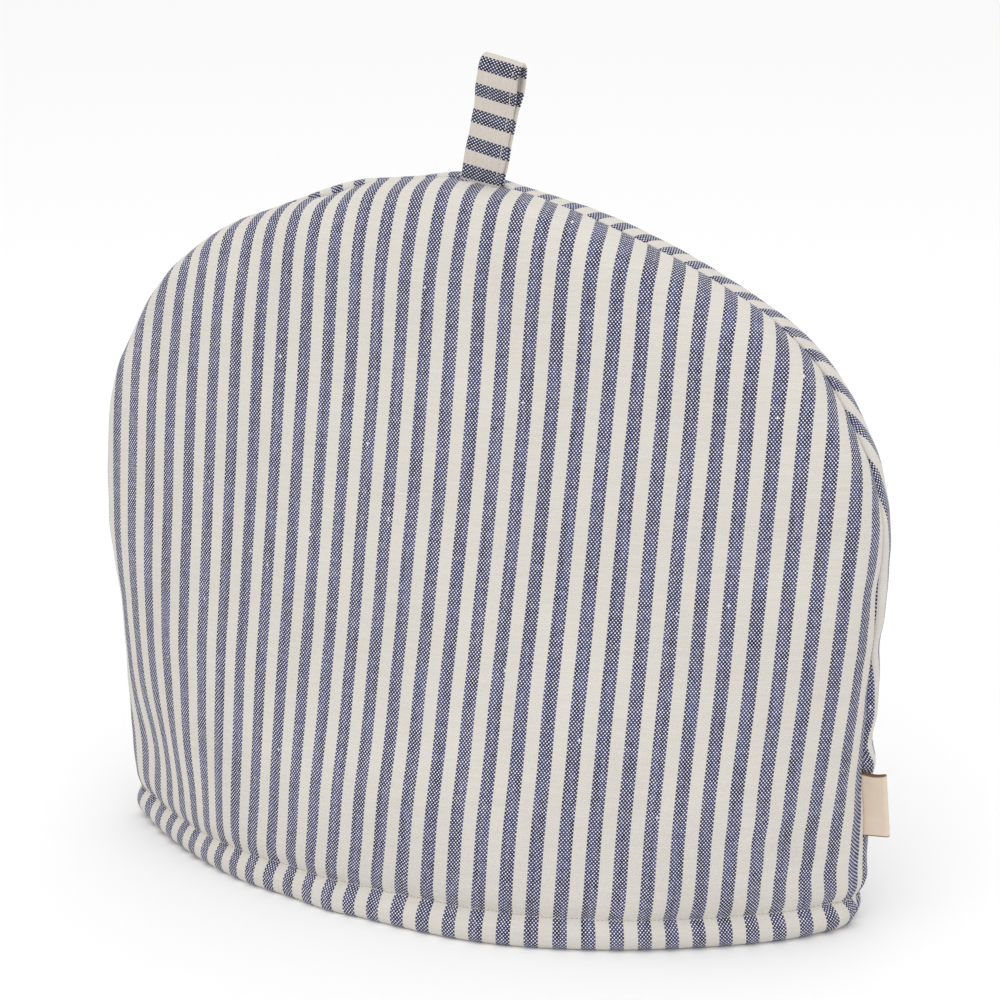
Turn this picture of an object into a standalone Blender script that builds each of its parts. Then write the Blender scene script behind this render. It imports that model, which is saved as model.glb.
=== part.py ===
"""A padded tea cosy of striped cotton, standing on its hem.

It is sewn from two padded panels in the shape of a dome, joined by one seam that runs
up one side, over the top and down the other. A folded strip of the same cloth stands on
the seam as a hanging loop, and a short folded tape is caught in the right-hand seam.

Metres, +Z up. The origin is on the table under the middle of the cosy. The front panel
faces -Y, the seam lies in the plane y = 0, and X runs along it.
"""

from collections import namedtuple

import bmesh
import bpy
import numpy as np
from mathutils import Matrix, Vector

MM = 0.001

# The dome, from the table to the top of the ridges beside the seam.
HEIGHT = 278 * MM
TOP_X = -5 * MM  # the top of the dome lies to the left of the cosy's middle
GAP = 0.15 * MM  # each panel stops this far from the seam's plane

# One row for each level of the dome, evenly spaced from the hem to the top. Left and
# right are the half-widths that the dome would have if its arch did not close over,
# depth is how far its middle stands out from the seam, fullness rounds the level off,
# and the two slants move its belly sideways.
Level = namedtuple("Level", "left right depth fullness slant edge_slant")
LEVELS = (
    Level(151.5 * MM, 155.5 * MM, 71.2 * MM, 1.00, -0.03, 0.00),
    Level(151.0 * MM, 157.5 * MM, 64.0 * MM, 1.42, 0.14, -0.14),
    Level(157.0 * MM, 161.0 * MM, 48.5 * MM, 1.65, 0.24, -0.22),
    Level(163.0 * MM, 167.0 * MM, 36.5 * MM, 1.80, 0.20, -0.04),
    Level(169.5 * MM, 168.5 * MM, 26.5 * MM, 1.92, 0.06, 0.35),
    Level(203.0 * MM, 146.0 * MM, 20.5 * MM, 2.02, -0.04, 0.60),
)
ARCH_SQUARENESS = 6.0  # how late the sides turn into the arch
ARCH_ROUNDNESS = 0.76
CROWN_SQUARENESS = 22.0  # how late the belly turns into the top
CROWN_ROUNDNESS = 0.66

# The padding, and the two ridges that it makes beside the seam.
PADDING = 8 * MM
SEAM_PADDING = 4 * MM
RIDGE_DEPTH = 3.5 * MM  # from the seam's plane to the widest line of a ridge
RIDGE_RADIUS = 6 * MM
SEAM_INSET = 3 * MM  # how far the seam lies inside the ridges
SEAM_INSET_TOP = 1 * MM  # the same where the loop is sewn in
SEAM_FADE = 25 * MM  # from the top to where the seam lies at its full inset

# The hem: rolled under at the table, drawn in by a line of stitches above it.
STITCH_HEIGHT = 12.5 * MM
STITCH_DEPTH = 2.2 * MM
STITCH_SPREAD = 3.0 * MM
HEM_TUCK = 4.0 * MM
HEM_TUCK_HEIGHT = 2.2 * MM
HEM_ROWS = (36.0, 24.0, 16.5, 12.5, 9.0, 5.0, 1.5, -1.0)  # mm above the table

# The mesh of the dome.
COLUMNS = 56
UPPER_ROWS = 22
OUTLINE_POINTS = 800
OUTLINE_STEP = 0.01  # radians to each side, for the outline's direction
SEAM_COLUMN = 1 - 1e-6  # a column further across than this is the seam itself
SHARP_ANGLE = np.radians(50)

# The hanging loop: a flat strip with its two ends side by side on the seam.
LOOP_X = 4 * MM  # from the top of the dome
LOOP_WIDTH = 16.5 * MM
LOOP_HEIGHT = 46.5 * MM
LOOP_CLOTH = 1.5 * MM
LOOP_FOOT_GAP = 0.5 * MM  # between the two legs where they stand on the seam
LOOP_TOP_SPAN = 9.0 * MM  # across the two legs near the top, middle to middle
LOOP_LEAN = np.radians(12)
LOOP_STEPS = 14  # cross-sections of one leg
LOOP_BEND_STEPS = 8
LOOP_SETTLE = 8 * MM  # how far up the strip turns from the seam's direction into its lean
LOOP_LIFT = -0.5 * MM  # from the dome's full height to the loop's foot

# The side tape, folded once, with its fold outwards.
TAPE_LOW = 37.5 * MM
TAPE_HIGH = 64 * MM
TAPE_LENGTH = 9.6 * MM  # from its root to the fold
TAPE_ROOT = 2.3 * MM  # from the seam's line to the tape's root
TAPE_LEAN = np.radians(4)
TAPE_CLOTH = 1.0 * MM
TAPE_FOLD_GAP = 0.4 * MM
TAPE_STEPS = 6

COTTON = (0.46, 0.44, 0.46)
COTTON_ROUGHNESS = 0.9
TAPE_COLOUR = (0.70, 0.55, 0.42)
TAPE_ROUGHNESS = 0.6


def smooth(values, position):
    """Value at a position from 0 to 1 along evenly spaced values, joined by a smooth curve."""
    values = np.asarray(values, float)
    last = len(values) - 1
    place = min(max(position, 0), 1) * last
    cell = min(int(place), last - 1)
    share = place - cell
    slopes = np.gradient(values)
    square, cube = share**2, share**3
    return (
        (2 * cube - 3 * square + 1) * values[cell]
        + (cube - 2 * square + share) * slopes[cell]
        + (3 * square - 2 * cube) * values[cell + 1]
        + (cube - square) * slopes[cell + 1]
    )


def level(field, height):
    """One column of the table of levels, at a height from 0 to 1."""
    return smooth([getattr(row, field) for row in LEVELS], height)


def half_width(height, right):
    """From the middle plane to the outline on one side, at a height from 0 to 1."""
    arch = max(1 - height**ARCH_SQUARENESS, 0) ** ARCH_ROUNDNESS
    return level("right" if right else "left", height) * arch


def outline_point(angle):
    """Point of the outline in the seam's plane; the angle is 0 at the right foot and pi at the left."""
    height = np.sin(angle)
    right = angle <= np.pi / 2
    reach = half_width(height, right)
    return np.array([reach if right else -reach, HEIGHT * height])


def outline_inward(angle):
    """Unit vector into the dome, square to the outline."""
    after, before = min(angle + OUTLINE_STEP, np.pi), max(angle - OUTLINE_STEP, 0)
    along = outline_point(after) - outline_point(before)
    along /= np.hypot(*along)
    return np.array([-along[1], along[0]])


OUTLINE = np.array([outline_point(angle) for angle in np.linspace(0, np.pi, OUTLINE_POINTS)])


def inset(x, z):
    """Distance from a point of the seam's plane to the outline."""
    start, run = OUTLINE[:-1], np.diff(OUTLINE, axis=0)
    away = np.array([x, z]) - start
    share = np.clip((away * run).sum(axis=1) / (run**2).sum(axis=1), 0, 1)
    return np.hypot(*(away - run * share[:, None]).T).min()


def hem_relief(z):
    """How far the cloth is drawn in near the hem, by the roll under it and by the stitches."""
    tuck = HEM_TUCK * np.exp(-max(z, 0) / HEM_TUCK_HEIGHT)
    stitches = STITCH_DEPTH * np.exp(-(((z - STITCH_HEIGHT) / STITCH_SPREAD) ** 2))
    return tuck + stitches


def belly(height, share):
    """Depth of a level at a share of its half-width, against that of its middle."""
    crown = (1 - height**CROWN_SQUARENESS) ** CROWN_ROUNDNESS
    slant = 1 + level("slant", height) * share + level("edge_slant", height) * share**3
    return crown * slant * (1 - share**2) ** (1 / level("fullness", height))


def outer_point(height, across, side):
    """Point of the outside: across runs from -1 at the left seam to 1 at the right one."""
    rise = min(max(height, 0), 1)
    z = height * HEIGHT
    relief = hem_relief(z)
    if abs(across) > SEAM_COLUMN:
        angle = np.arcsin(rise) if across > 0 else np.pi - np.arcsin(rise)
        fade = min(abs(outline_point(angle)[0]) / SEAM_FADE, 1)
        drawn = SEAM_INSET_TOP + (SEAM_INSET - SEAM_INSET_TOP) * fade
        x, z_seam = outline_point(angle) + outline_inward(angle) * drawn
        return Vector((x - np.sign(across) * relief / 2, 0, z_seam + min(z, 0)))
    left, right = half_width(rise, False), half_width(rise, True)
    x = (right - left) / 2 + (right + left) / 2 * across
    rim = 1 - min(inset(x, rise * HEIGHT) / RIDGE_RADIUS, 1)
    ridge = RIDGE_DEPTH + RIDGE_RADIUS * np.sqrt(1 - rim**2)
    full = level("depth", rise) - RIDGE_DEPTH - RIDGE_RADIUS
    depth = ridge + full * belly(rise, across)
    pull = Vector((x, depth)).normalized() * relief
    return Vector((x - pull.x, side * (depth - pull.y), z))


def core_point(height, across, side):
    """Point of the hollow inside the padding, on the same level and line."""
    rise = min(max(height, 0), 1)
    wall = SEAM_INSET + SEAM_PADDING
    left, right = half_width(rise, False), half_width(rise, True)
    x = (right - left) / 2 + (right + left) / 2 * across
    shrink = 1 - wall * 2 / (left + right + wall) if rise < 1 else 1
    depth = (level("depth", rise) - PADDING) * belly(rise, across)
    return Vector((x * shrink, side * depth, height * (HEIGHT - wall)))


def dome_rows():
    """Heights of the rows of the dome, from the top down, as shares."""
    hem = np.array(HEM_ROWS) * MM / HEIGHT
    rest = np.cos(np.linspace(0, np.pi / 2, UPPER_ROWS + 1))[:-1]
    return np.concatenate([hem[0] + (1 - hem[0]) * rest, hem])


def new_object(name, shape, collection):
    """An object for a finished bmesh that was made about the dome's top, in a collection."""
    mesh = bpy.data.meshes.new(name)
    shape.to_mesh(mesh)
    shape.free()
    made = bpy.data.objects.new(name, mesh)
    made.location.x = TOP_X
    collection.objects.link(made)
    return made


def cloth(name, colour, roughness):
    """A plain matt cloth."""
    material = bpy.data.materials.new(name)
    material.use_nodes = True
    shader = material.node_tree.nodes["Principled BSDF"]
    shader.inputs["Base Color"].default_value = (*colour, 1)
    shader.inputs["Roughness"].default_value = roughness
    shader.inputs["Metallic"].default_value = 0
    return material


def helper(made):
    """Makes an object one that only cuts."""
    made.hide_render = True
    made.display_type = "WIRE"
    return made


def block(name, low, high, collection):
    """A cutting block between two corners."""
    shape = bmesh.new()
    bmesh.ops.create_cube(shape, size=1)
    middle, size = (Vector(high) + Vector(low)) / 2, Vector(high) - Vector(low)
    place = Matrix.Translation(middle) @ Matrix.Diagonal((*size, 1))
    bmesh.ops.transform(shape, matrix=place, verts=shape.verts)
    return helper(new_object(name, shape, collection))


def cut(target, cutter):
    """Takes a cutter away from an object."""
    trim = target.modifiers.new(cutter.name, "BOOLEAN")
    trim.operation = "DIFFERENCE"
    trim.solver = "EXACT"
    trim.object = cutter


def dome(name, point, collection):
    """The whole closed dome, from a sphere whose rings become its levels."""
    heights = dome_rows()
    rings = len(heights)
    shape = bmesh.new()
    bmesh.ops.create_uvsphere(shape, u_segments=COLUMNS, v_segments=rings, radius=1)
    for vertex in shape.verts:
        ring = round(np.arccos(min(max(vertex.co.z, -1), 1)) / np.pi * rings)
        if ring == rings:
            vertex.co = (0, 0, heights[-1] * HEIGHT)
            continue
        if ring == 0:
            vertex.co = point(1, 1, 0)
            continue
        across = np.cos(np.arctan2(vertex.co.y, vertex.co.x))
        side = 0 if abs(across) > SEAM_COLUMN else np.sign(vertex.co.y)
        vertex.co = point(heights[ring], across, side)
    return new_object(name, shape, collection)


def panel(name, material, collection, cutters):
    """One padded panel: the dome without its hollow and without its other half."""
    made = dome(name, outer_point, collection)
    made.data.materials.append(material)
    for cutter in cutters:
        cut(made, cutter)
    made.data.shade_smooth()
    made.data.set_sharp_from_angle(angle=SHARP_ANGLE)
    return made


def loop_path():
    """The middle line of the strip: up the front leg, over the top, down the back leg."""
    foot = LOOP_FOOT_GAP / 2 + LOOP_CLOTH / 2
    radius = LOOP_TOP_SPAN / 2
    straight = LOOP_HEIGHT - LOOP_CLOTH / 2 - radius
    points = []
    for step in range(LOOP_STEPS + 1):
        rise = step / LOOP_STEPS
        swell = rise * rise * (3 - 2 * rise)
        points.append((-(foot + (radius - foot) * swell), straight * rise))
    for step in range(1, LOOP_BEND_STEPS):
        turn = np.pi * step / LOOP_BEND_STEPS
        points.append((-radius * np.cos(turn), straight + radius * np.sin(turn)))
    return points + [(-y, z) for y, z in points[LOOP_STEPS::-1]]


def strip(name, path, low, high, thickness, collection):
    """A flat strip of cloth that follows a path in a plane square to its width."""
    shape = bmesh.new()
    bmesh.ops.create_grid(shape, x_segments=1, y_segments=len(path) - 1, size=1)
    order = sorted(shape.verts, key=lambda v: (round(v.co.y, 5), round(v.co.x, 5)))
    for place, vertex in enumerate(order):
        row, column = divmod(place, 2)
        vertex.co = (path[row][0], high if column else low, path[row][1])
    made = new_object(name, shape, collection)
    solidify = made.modifiers.new("cloth", "SOLIDIFY")
    solidify.thickness = thickness
    solidify.offset = 0
    solidify.use_even_offset = True
    return made


def hanging_loop(material, collection):
    """The loop, standing on the seam and leaning to the right."""
    half = LOOP_WIDTH / 2
    made = strip("hanging_loop", loop_path(), -half, half, LOOP_CLOTH, collection)
    made.data.materials.append(material)
    foot = Vector((LOOP_X, 0, HEIGHT + LOOP_LIFT))
    for vertex in made.data.vertices:
        depth, across, rise = vertex.co
        turn = LOOP_LEAN * min(rise / LOOP_SETTLE, 1)
        x = rise * np.sin(LOOP_LEAN) - across * np.cos(turn)
        vertex.co = foot + Vector((x, depth, rise * np.cos(LOOP_LEAN) + across * np.sin(turn)))
    return made


def tape_path():
    """The middle line of the folded tape, from the seam out to the fold and back."""
    half = TAPE_FOLD_GAP / 2 + TAPE_CLOTH / 2
    straight = TAPE_LENGTH - TAPE_CLOTH / 2 - half
    points = [(0.0, -half)]
    for step in range(TAPE_STEPS + 1):
        turn = np.pi * step / TAPE_STEPS
        points.append((straight + half * np.sin(turn), -half * np.cos(turn)))
    return points + [(0.0, half)]


def side_tape(material, collection):
    """The folded tape, standing out of the right-hand seam."""
    half = (TAPE_HIGH - TAPE_LOW) / 2
    made = strip("side_tape", tape_path(), -half, half, TAPE_CLOTH, collection)
    made.data.materials.append(material)
    middle = (TAPE_HIGH + TAPE_LOW) / 2
    seam = half_width(middle / HEIGHT, True) - SEAM_INSET
    lean = Matrix.Rotation(-TAPE_LEAN, 4, "Y")
    upright = Matrix.Rotation(np.radians(-90), 4, "X")
    made.data.transform(Matrix.Translation((seam + TAPE_ROOT, 0, middle)) @ lean @ upright)
    return made


def main():
    """Clears the scene and makes the cosy."""
    for existing in list(bpy.data.objects):
        bpy.data.objects.remove(existing, do_unlink=True)
    parts = bpy.data.collections.new("tea_cosy")
    helpers = bpy.data.collections.new("cutters")
    bpy.context.scene.collection.children.link(parts)
    bpy.context.scene.collection.children.link(helpers)
    reach = 2 * HEIGHT
    core = helper(dome("core", core_point, helpers))
    floor = block("below_table", (-reach, -reach, -reach), (reach, reach, 0), helpers)
    behind = block("behind_seam", (-reach, -GAP, -reach), (reach, reach, reach), helpers)
    before = block("before_seam", (-reach, -reach, -reach), (reach, GAP, reach), helpers)
    front, back, loop = (
        cloth(name, COTTON, COTTON_ROUGHNESS)
        for name in ("front_cotton", "back_cotton", "loop_cotton")
    )
    panel("front_panel", front, parts, (core, behind, floor))
    panel("back_panel", back, parts, (core, before, floor))
    hanging_loop(loop, parts)
    side_tape(cloth("tape_satin", TAPE_COLOUR, TAPE_ROUGHNESS), parts)


if __name__ == "__main__":
    main()
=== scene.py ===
"""Looks of the padded tea cosy: its striped cloth, its seams and stitches, its loop and tape.

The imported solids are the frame. Each soft solid is replaced by a finer piece that lies in
the same place: two padded panels whose cloth rolls into the seam and the hem, the hanging
loop, the folded side tape, and the thread that shows. The finishes are woven from the
cloth's own coordinates, which every piece carries in a UV map measured in metres.
"""

import logging
from dataclasses import dataclass, field
from enum import Enum

import bpy
import numpy as np
from mathutils import Matrix, Vector, noise

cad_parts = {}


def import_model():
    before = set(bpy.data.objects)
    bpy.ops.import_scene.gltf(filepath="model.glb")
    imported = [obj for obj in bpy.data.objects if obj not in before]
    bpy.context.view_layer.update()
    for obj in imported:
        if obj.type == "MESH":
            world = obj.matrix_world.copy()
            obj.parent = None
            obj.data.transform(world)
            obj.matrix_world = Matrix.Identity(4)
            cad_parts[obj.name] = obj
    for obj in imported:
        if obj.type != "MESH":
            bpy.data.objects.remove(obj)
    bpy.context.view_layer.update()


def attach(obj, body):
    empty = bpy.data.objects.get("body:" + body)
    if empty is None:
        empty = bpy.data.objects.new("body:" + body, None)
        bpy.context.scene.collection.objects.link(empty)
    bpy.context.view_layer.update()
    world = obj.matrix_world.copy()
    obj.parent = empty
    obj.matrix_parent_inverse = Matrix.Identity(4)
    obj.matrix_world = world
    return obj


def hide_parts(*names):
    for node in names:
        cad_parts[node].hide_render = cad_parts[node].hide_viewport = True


LOG = logging.getLogger("tea_cosy")
MM = 0.001
BODY = "root"
CLOTH_MAP = "cloth"
MERGE = 1e-6

Colour = tuple[float, float, float]
Place = tuple[float, float, float]
Socket = bpy.types.NodeSocket
Feeds = dict[str | int, object]
Stitches = tuple[np.ndarray, np.ndarray, np.ndarray]


class Side(Enum):
    """Which half of the cosy a panel covers, as the sign of its depth."""

    FRONT = -1
    BACK = 1


# --------------------------------------------------------------------------- the dome


@dataclass(frozen=True)
class Level:
    """One level of the dome: half-widths, depth, roundness and two sideways slants."""

    left: float
    right: float
    depth: float
    fullness: float
    slant: float
    edge_slant: float


LEVELS = (
    Level(151.5 * MM, 155.5 * MM, 71.2 * MM, 1.00, -0.03, 0.00),
    Level(151.0 * MM, 157.5 * MM, 64.0 * MM, 1.42, 0.14, -0.14),
    Level(157.0 * MM, 161.0 * MM, 48.5 * MM, 1.65, 0.24, -0.22),
    Level(163.0 * MM, 167.0 * MM, 36.5 * MM, 1.80, 0.20, -0.04),
    Level(169.5 * MM, 168.5 * MM, 26.5 * MM, 1.92, 0.06, 0.35),
    Level(203.0 * MM, 146.0 * MM, 20.5 * MM, 2.02, -0.04, 0.60),
)


def ease(value: np.ndarray) -> np.ndarray:
    """Smooth step of a value from 0 to 1."""
    held = np.clip(value, 0, 1)
    return held * held * (3 - 2 * held)


def together(*parts: np.ndarray | float) -> np.ndarray:
    """Parts side by side along a new last axis, each spread to the shape they share."""
    return np.stack(np.broadcast_arrays(*parts), axis=-1)


def unit(vectors: np.ndarray, least: float = 1e-15) -> np.ndarray:
    """Vectors of length 1; those under the least length stay shorter."""
    return vectors / np.maximum(np.linalg.norm(vectors, axis=-1, keepdims=True), least)


def smooth_table(values: list[float] | tuple[float, ...], position: np.ndarray) -> np.ndarray:
    """Reads evenly spaced values as one smooth curve.

    Args:
        values: The table's column, from position 0 to position 1.
        position: Where to read it.

    Returns:
        The values there.
    """
    column = np.asarray(values, float)
    last = len(column) - 1
    place = np.clip(position, 0, 1) * last
    cell = np.minimum(place.astype(int), last - 1)
    share = place - cell
    slopes = np.gradient(column)
    square, cube = share**2, share**3
    return (
        (2 * cube - 3 * square + 1) * column[cell]
        + (cube - 2 * square + share) * slopes[cell]
        + (3 * square - 2 * cube) * column[cell + 1]
        + (cube - square) * slopes[cell + 1]
    )


@dataclass(frozen=True)
class Dome:
    """The dome's outline in the seam's plane and how deep it is, about the dome's top."""

    height: float = 278 * MM
    top_x: float = -5 * MM
    arch_squareness: float = 6.0
    arch_roundness: float = 0.76
    crown_squareness: float = 22.0
    crown_roundness: float = 0.66
    padding: float = 8 * MM
    seam_wall: float = 7 * MM
    ridge_depth: float = 2.4 * MM
    ridge_radius: float = 4.4 * MM
    outline_points: int = 900

    def level(self, name: str, height: np.ndarray) -> np.ndarray:
        """One column of the table of levels, at heights from 0 to 1."""
        return smooth_table([getattr(row, name) for row in LEVELS], height)

    def half_width(self, height: np.ndarray, right: np.ndarray | bool) -> np.ndarray:
        """From the middle plane to the outline, on the right or on the left."""
        arch = np.maximum(1 - height**self.arch_squareness, 0) ** self.arch_roundness
        return np.where(right, self.level("right", height), self.level("left", height)) * arch

    def outline(self, angle: np.ndarray) -> np.ndarray:
        """Points (x, z) of the outline; the angle is 0 at the right foot and pi at the left."""
        height = np.clip(np.sin(angle), 0, 1)
        right = angle <= np.pi / 2
        reach = self.half_width(height, right)
        return together(np.where(right, reach, -reach), height * self.height)

    def inward(self, angle: np.ndarray) -> np.ndarray:
        """Unit vectors into the dome, square to the outline."""
        step = 0.01
        after, before = np.minimum(angle + step, np.pi), np.maximum(angle - step, 0)
        along = unit(self.outline(after) - self.outline(before))
        return together(-along[..., 1], along[..., 0])

    def inset(self, x: np.ndarray, z: np.ndarray) -> np.ndarray:
        """Distance from points of the seam's plane to the outline, one row of points at a time."""
        line = self.outline(np.linspace(0, np.pi, self.outline_points))
        start, run = line[:-1], np.diff(line, axis=0)
        length = (run**2).sum(axis=1)
        found = np.empty(x.shape)
        for row in range(x.shape[0]):
            away = together(x[row], z[row])[:, None, :] - start
            share = np.clip((away * run).sum(axis=2) / length, 0, 1)
            found[row] = np.linalg.norm(away - run * share[..., None], axis=2).min(axis=1)
        return found

    def belly(self, height: np.ndarray, across: np.ndarray) -> np.ndarray:
        """Depth at a share of a level's half-width, against that of its middle."""
        crown = np.maximum(1 - height**self.crown_squareness, 0) ** self.crown_roundness
        slant = 1 + self.level("slant", height) * across
        slant = slant + self.level("edge_slant", height) * across**3
        rounding = np.maximum(1 - across**2, 0) ** (1 / self.level("fullness", height))
        return crown * slant * rounding

    def span(self, height: np.ndarray, across: np.ndarray) -> np.ndarray:
        """Where a share of a level's width lies, from the dome's top."""
        left, right = self.half_width(height, False), self.half_width(height, True)
        return (right - left) / 2 + (right + left) / 2 * across


# ----------------------------------------------------------------- mesh work, by hand


def deselect() -> None:
    """Leaves nothing selected, so that an operator acts on its own piece."""
    if bpy.context.mode != "OBJECT":
        bpy.ops.object.mode_set(mode="OBJECT")
    bpy.ops.object.select_all(action="DESELECT")


def woven_grid(name: str, points: np.ndarray, cloth: np.ndarray) -> bpy.types.Object:
    """Adds a grid and moves its vertices to a table of points.

    Args:
        name: The object's name.
        points: Rows by columns by three, in metres.
        cloth: Rows by columns by two, the cloth's own coordinates in metres.

    Returns:
        The new object, with its cloth map.
    """
    rows, columns = points.shape[:2]
    deselect()
    bpy.ops.mesh.primitive_grid_add(x_subdivisions=columns - 1, y_subdivisions=rows - 1, size=2)
    made = bpy.context.object
    made.name = made.data.name = name
    mesh = made.data
    flat = np.empty(len(mesh.vertices) * 3)
    mesh.vertices.foreach_get("co", flat)
    flat = flat.reshape(-1, 3)
    column = np.rint((flat[:, 0] + 1) / 2 * (columns - 1)).astype(int)
    row = np.rint((flat[:, 1] + 1) / 2 * (rows - 1)).astype(int)
    mesh.vertices.foreach_set("co", points[row, column].ravel())
    corner = np.empty(len(mesh.loops), int)
    mesh.loops.foreach_get("vertex_index", corner)
    while mesh.uv_layers:
        mesh.uv_layers.remove(mesh.uv_layers[0])
    layer = mesh.uv_layers.new(name=CLOTH_MAP)
    layer.data.foreach_set("uv", cloth[row, column][corner].ravel())
    mesh.update()
    return made


def edit(made: bpy.types.Object) -> None:
    """Opens one object for editing, with all of it selected."""
    deselect()
    made.select_set(True)
    bpy.context.view_layer.objects.active = made
    bpy.ops.object.mode_set(mode="EDIT")
    bpy.ops.mesh.select_all(action="SELECT")


def turn_outwards() -> None:
    """Turns the faces of the object under edit outwards, and closes it again."""
    bpy.ops.mesh.select_all(action="SELECT")
    bpy.ops.mesh.normals_make_consistent(inside=False)
    bpy.ops.object.mode_set(mode="OBJECT")


def close_up(made: bpy.types.Object) -> bpy.types.Object:
    """Sews a grid's edges together where they meet, fills what is open and turns it outwards."""
    edit(made)
    bpy.ops.mesh.remove_doubles(threshold=MERGE)
    bpy.ops.mesh.select_all(action="DESELECT")
    bpy.ops.mesh.select_mode(type="EDGE")
    bpy.ops.mesh.select_non_manifold()
    bpy.ops.mesh.fill_holes(sides=0)
    turn_outwards()
    bpy.ops.object.shade_smooth()
    return made


def replicate(name: str, points: np.ndarray, faces: np.ndarray) -> bpy.types.Object:
    """Joins many copies of one small shape into one object.

    Args:
        name: The object's name.
        points: Copies by vertices by three.
        faces: The faces of one copy, as rows of four vertex numbers.

    Returns:
        The new object, smoothly shaded.
    """
    copies, size = points.shape[:2]
    faces = faces[None] + (np.arange(copies) * size)[:, None, None]
    mesh = bpy.data.meshes.new(name)
    mesh.from_pydata(points.reshape(-1, 3).tolist(), [], faces.reshape(-1, 4).tolist())
    mesh.shade_smooth()
    made = bpy.data.objects.new(name, mesh)
    bpy.context.scene.collection.objects.link(made)
    return made


def grain(points: np.ndarray, size: float, seed: float) -> np.ndarray:
    """Smooth noise from -1 to 1 at points, with lumps of about one size in metres."""
    shift = Vector((seed, -seed * 1.7, seed * 0.6))
    flat = points.reshape(-1, 3) / size
    return np.array([noise.noise(Vector(place) + shift) for place in flat]).reshape(points.shape[:-1])


def normals_of(points: np.ndarray) -> np.ndarray:
    """Unit normals of a table of points; a collapsed row has none."""
    return unit(np.cross(np.gradient(points, axis=1), np.gradient(points, axis=0)))


# ------------------------------------------------------------------------- the panels


@dataclass(frozen=True)
class Hem:
    """The rolled hem and the line of stitches above it."""

    stitch_height: float = 12.6 * MM
    groove_depth: float = 2.9 * MM
    groove_above: float = 4.2 * MM
    groove_below: float = 2.9 * MM
    puff: float = 0.7 * MM
    roll: float = 3.6 * MM
    roll_at_seam: float = 6.2 * MM
    inner_roll: float = 1.4 * MM
    corner_room: float = 4.5 * MM
    corner_reach: float = 22 * MM
    wander: float = 0.35 * MM
    wander_run: float = 31 * MM
    uneven: float = 0.16
    uneven_runs: tuple[float, float] = (17 * MM, 7.3 * MM)
    groove_power: float = 1.15
    dimple: float = 0.30 * MM
    dimple_reach: float = 1.1 * MM
    stitch_length: float = 1.65 * MM
    stitch_cover: float = 0.72
    thread_radius: float = 0.21 * MM

    def line(self, along: np.ndarray, seed: float) -> np.ndarray:
        """Height of the line of stitches at lengths along the hem."""
        return self.stitch_height + self.wander * np.sin(along / self.wander_run + seed)


@dataclass(frozen=True)
class Pull:
    """One place where the cloth was drawn aside or pressed in, fading with distance."""

    amount: float
    x: float
    x_reach: float
    z: float
    z_reach: float

    def at(self, x: np.ndarray, z: np.ndarray) -> np.ndarray:
        """The pull at points of the seam's plane."""
        away = ((x - self.x) / self.x_reach) ** 2 + ((z - self.z) / self.z_reach) ** 2
        return self.amount * np.exp(-away)


@dataclass(frozen=True)
class Dent(Pull):
    """A place where a panel's edge is pressed in, or let out, fading into the panel."""

    fade: float = 7 * MM


@dataclass(frozen=True)
class Creep:
    """A slow sideways slip of the stripes, from one place on to another."""

    amount: float
    start: float
    run: float

    def at(self, x: np.ndarray) -> np.ndarray:
        """The slip at lengths across the panel."""
        return self.amount * ease((x - self.start) / self.run)


@dataclass(frozen=True)
class Gather:
    """A place where a stitch has drawn the cloth together from both sides."""

    amount: float
    x: float
    reach: float
    z: float
    z_reach: float

    def at(self, x: np.ndarray, z: np.ndarray) -> np.ndarray:
        """How far the cloth is drawn aside at points of the seam's plane."""
        away = (x - self.x) / self.reach
        return self.amount * away * np.exp(0.5 - away**2 / 2 - ((z - self.z) / self.z_reach) ** 2)


@dataclass(frozen=True)
class Parting:
    """Where the seam is held open by something that is sewn into it."""

    loop_middle: float
    loop_half: float
    loop_room: float
    tape_middle: float
    tape_half: float
    tape_room: float
    edge: float = 1.6 * MM
    gap: float = 0.15 * MM

    def room(self, x: np.ndarray, z: np.ndarray, top: float) -> np.ndarray:
        """How far each panel's seam stands from the seam's plane, at points of the outline."""
        loop = ease((self.loop_half + self.edge - abs(x - self.loop_middle)) / self.edge)
        loop = loop * (z > top / 2)
        tape = ease((self.tape_half + self.edge - abs(z - self.tape_middle)) / self.edge)
        tape = tape * (x > 0)
        return self.gap + self.loop_room * loop + self.tape_room * tape


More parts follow.
